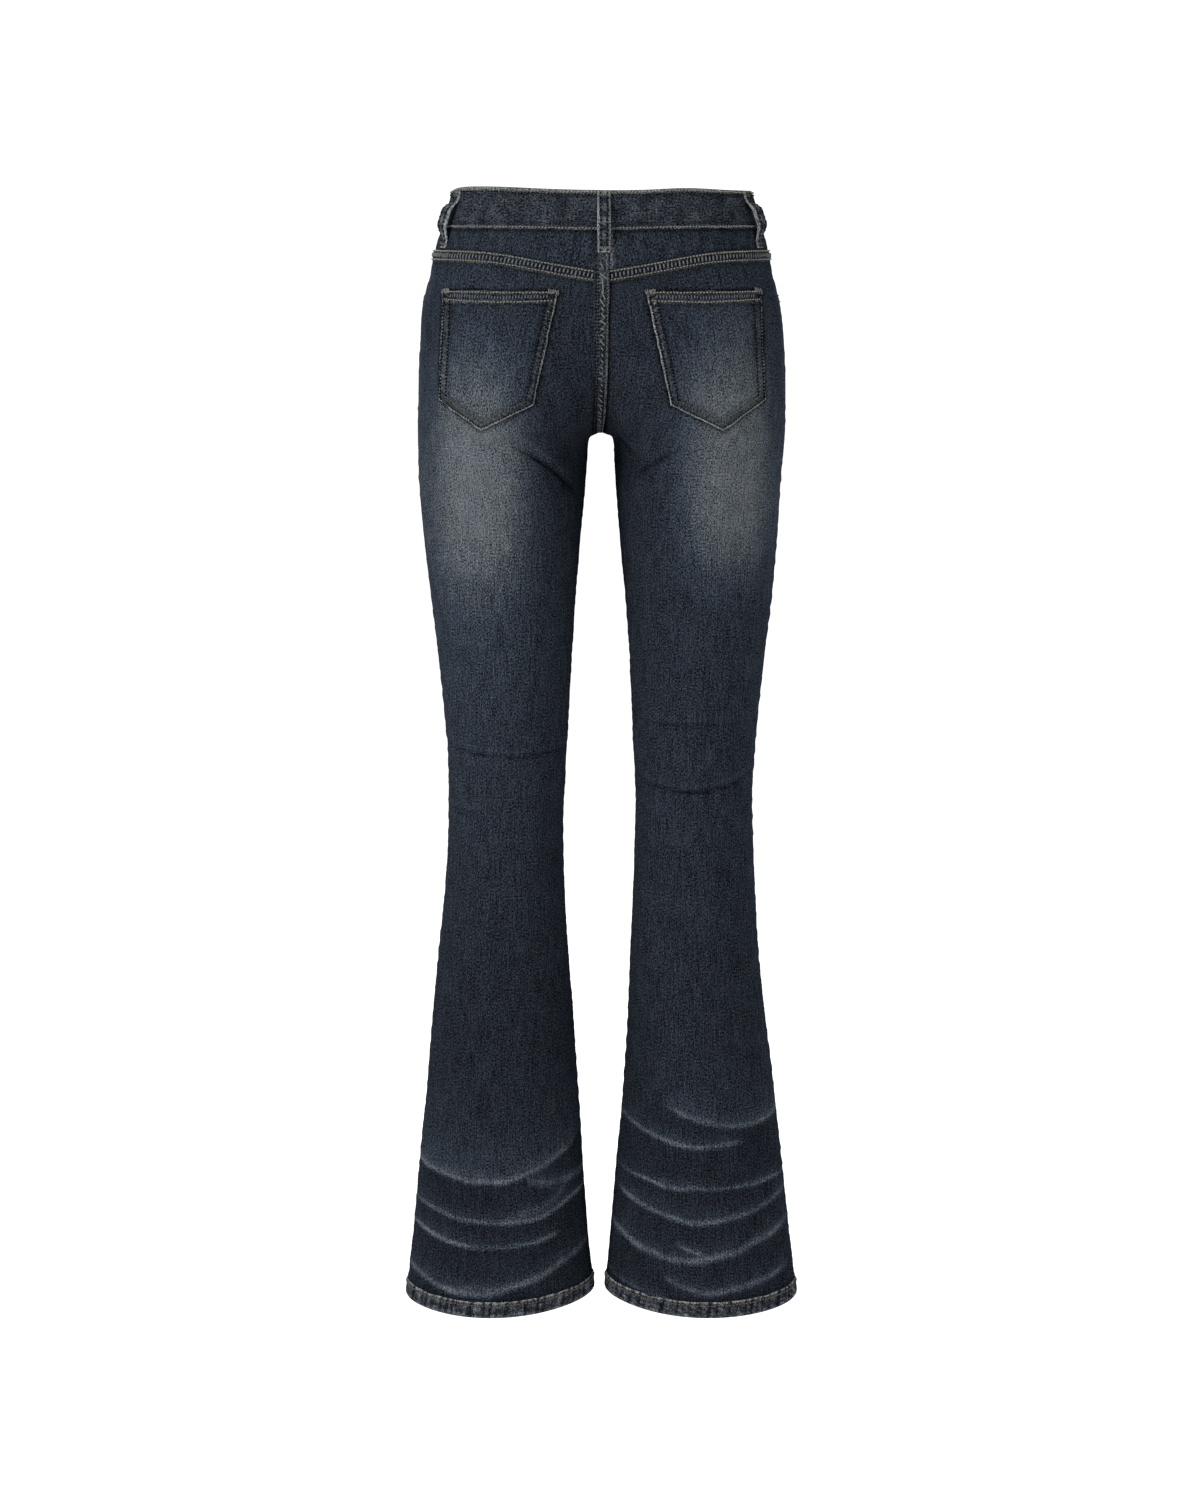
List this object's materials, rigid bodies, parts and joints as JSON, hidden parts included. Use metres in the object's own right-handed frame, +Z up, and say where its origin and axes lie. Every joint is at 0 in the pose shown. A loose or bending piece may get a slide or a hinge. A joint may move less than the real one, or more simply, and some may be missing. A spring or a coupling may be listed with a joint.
{
  "type": "bootcut denim jeans",
  "caption": "Low-rise bootcut jeans in dark denim, worn hollow form with open waist and hems, back yoke, patch pockets, belt loops and turned-up hems.",
  "frame": {"origin": "centre of the waist opening, at mid-height of the waistband's back", "axes": "+Z up along the legs; the garment's front faces -Y and its back +Y; the wearer's left leg is at +X"},
  "size_m": [0.3748, 0.2246, 1.0452],
  "materials": {
    "denim": "dark navy cotton denim with a lighter reverse, worn paler along the edges and over the thighs",
    "zip_tape": "dark woven zip tape with a brass chain along its middle",
    "brass": "aged brass"
  },
  "bodies": {
    "root": {"back_left": "denim", "back_right": "denim", "front_left": "denim", "front_right": "denim", "yoke_left": "denim", "yoke_right": "denim", "waistband": "denim", "hem_left": "denim", "hem_right": "denim", "back_pocket_left": "denim", "back_pocket_right": "denim", "pocket_facing_left": "denim", "pocket_facing_right": "denim", "fly_shield": "denim", "belt_loop_back": "denim", "belt_loop_side_left": "denim", "belt_loop_side_right": "denim", "belt_loop_front_left": "denim", "belt_loop_front_right": "denim", "waist_button": "brass", "fly_zip": "zip_tape", "zip_slider": "brass"}
  },
  "joints": []
}
